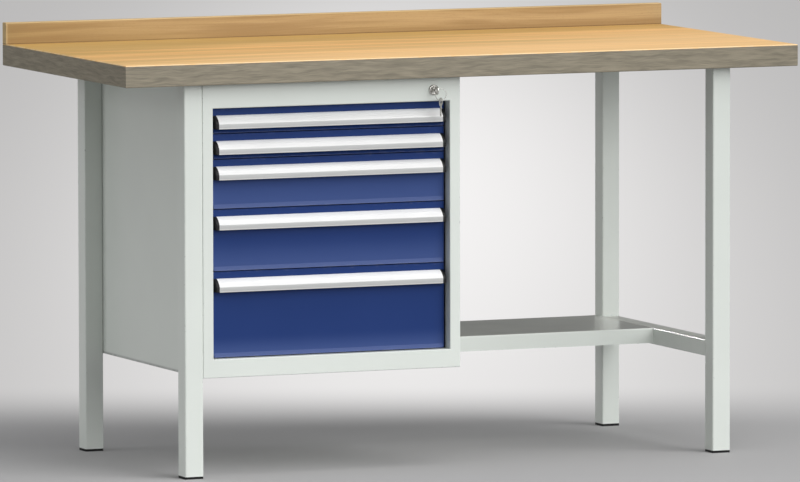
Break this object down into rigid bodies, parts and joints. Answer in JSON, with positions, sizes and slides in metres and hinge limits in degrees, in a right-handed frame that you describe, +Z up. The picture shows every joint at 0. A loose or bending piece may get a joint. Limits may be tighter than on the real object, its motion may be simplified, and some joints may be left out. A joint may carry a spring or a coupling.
{
  "type": "industrial workbench",
  "caption": "Workshop bench with a wooden top and rear upstand on square steel legs, with a lockable hanging drawer cabinet and a half-depth lower shelf.",
  "frame": {"origin": "floor under the middle of the worktop", "axes": "+X to the right of a person at the bench, +Y to the rear, +Z up"},
  "size_m": [1.5, 0.7, 0.895],
  "materials": {
    "beech": "oiled board with darker edges",
    "grey_paint": "satin powder coat",
    "blue_paint": "satin powder coat",
    "aluminium": "clear anodised",
    "black_plastic": "moulded",
    "zinc_steel": "zinc plated",
    "nickel": "nickel plated"
  },
  "bodies": {
    "bench": {"worktop": "beech", "rear_upstand": "beech", "wood_screws": "zinc_steel", "frame_bolts": "zinc_steel", "front_left_leg": "grey_paint", "front_right_leg": "grey_paint", "rear_left_leg": "grey_paint", "rear_right_leg": "grey_paint", "foot_caps": "black_plastic", "leg_head_bars": "grey_paint", "right_cross_rail": "grey_paint", "lower_shelf": "grey_paint", "cabinet_front_frame": "grey_paint", "cabinet_left_side": "grey_paint", "cabinet_right_side": "grey_paint", "cabinet_back": "grey_paint", "cabinet_floor": "grey_paint", "cabinet_top": "grey_paint", "runner_posts": "zinc_steel", "fixed_runners": "zinc_steel", "lock_cylinder": "nickel", "lock_nut": "nickel", "lock_bar_guides": "zinc_steel"},
    "drawer_1": {"drawer_1_front": "blue_paint", "drawer_1_tray": "grey_paint", "drawer_1_handle": "aluminium", "drawer_1_handle_caps": "black_plastic", "drawer_1_runners": "zinc_steel"},
    "middle_runner_1": {"middle_runners_1": "zinc_steel"},
    "drawer_2": {"drawer_2_front": "blue_paint", "drawer_2_tray": "grey_paint", "drawer_2_handle": "aluminium", "drawer_2_handle_caps": "black_plastic", "drawer_2_runners": "zinc_steel"},
    "middle_runner_2": {"middle_runners_2": "zinc_steel"},
    "drawer_3": {"drawer_3_front": "blue_paint", "drawer_3_tray": "grey_paint", "drawer_3_handle": "aluminium", "drawer_3_handle_caps": "black_plastic", "drawer_3_runners": "zinc_steel"},
    "middle_runner_3": {"middle_runners_3": "zinc_steel"},
    "drawer_4": {"drawer_4_front": "blue_paint", "drawer_4_tray": "grey_paint", "drawer_4_handle": "aluminium", "drawer_4_handle_caps": "black_plastic", "drawer_4_runners": "zinc_steel"},
    "middle_runner_4": {"middle_runners_4": "zinc_steel"},
    "drawer_5": {"drawer_5_front": "blue_paint", "drawer_5_tray": "grey_paint", "drawer_5_handle": "aluminium", "drawer_5_handle_caps": "black_plastic", "drawer_5_runners": "zinc_steel"},
    "middle_runner_5": {"middle_runners_5": "zinc_steel"},
    "key": {"key": "nickel", "lock_plug": "nickel", "lock_cam": "zinc_steel"},
    "key_ring": {"key_ring": "nickel"},
    "lock_bar": {"lock_bar": "zinc_steel"}
  },
  "joints": [
    {"name": "drawer_1_slide", "type": "slide", "parent": "bench", "child": "drawer_1", "axis": [0, -1, 0], "range_m": [0, 0.45]},
    {"name": "runner_1_slide", "type": "slide", "parent": "bench", "child": "middle_runner_1", "axis": [0, -1, 0], "range_m": [0, 0.225]},
    {"name": "drawer_2_slide", "type": "slide", "parent": "bench", "child": "drawer_2", "axis": [0, -1, 0], "range_m": [0, 0.45]},
    {"name": "runner_2_slide", "type": "slide", "parent": "bench", "child": "middle_runner_2", "axis": [0, -1, 0], "range_m": [0, 0.225]},
    {"name": "drawer_3_slide", "type": "slide", "parent": "bench", "child": "drawer_3", "axis": [0, -1, 0], "range_m": [0, 0.45]},
    {"name": "runner_3_slide", "type": "slide", "parent": "bench", "child": "middle_runner_3", "axis": [0, -1, 0], "range_m": [0, 0.225]},
    {"name": "drawer_4_slide", "type": "slide", "parent": "bench", "child": "drawer_4", "axis": [0, -1, 0], "range_m": [0, 0.45]},
    {"name": "runner_4_slide", "type": "slide", "parent": "bench", "child": "middle_runner_4", "axis": [0, -1, 0], "range_m": [0, 0.225]},
    {"name": "drawer_5_slide", "type": "slide", "parent": "bench", "child": "drawer_5", "axis": [0, -1, 0], "range_m": [0, 0.45]},
    {"name": "runner_5_slide", "type": "slide", "parent": "bench", "child": "middle_runner_5", "axis": [0, -1, 0], "range_m": [0, 0.225]},
    {"name": "key_turn", "type": "hinge", "parent": "bench", "child": "key", "pos_m": [-0.0605, -0.335, 0.778], "axis": [0, -1, 0], "range_deg": [0, 90]},
    {"name": "lock_bar_lift", "type": "slide", "parent": "bench", "child": "lock_bar", "axis": [0, 0, 1], "range_m": [0, 0.008]},
    {"name": "key_ring_swing", "type": "hinge", "parent": "bench", "child": "key_ring", "pos_m": [-0.0605, -0.335, 0.778], "axis": [-1, 0, 0], "range_deg": [0, 30]}
  ],
  "couplings": [
    {"joint": "runner_1_slide", "follows": "drawer_1_slide", "ratio": 0.5},
    {"joint": "runner_2_slide", "follows": "drawer_2_slide", "ratio": 0.5},
    {"joint": "runner_3_slide", "follows": "drawer_3_slide", "ratio": 0.5},
    {"joint": "runner_4_slide", "follows": "drawer_4_slide", "ratio": 0.5},
    {"joint": "runner_5_slide", "follows": "drawer_5_slide", "ratio": 0.5},
    {"joint": "key_turn", "follows": "lock_bar_lift", "rad_per_m": 196.3}
  ]
}
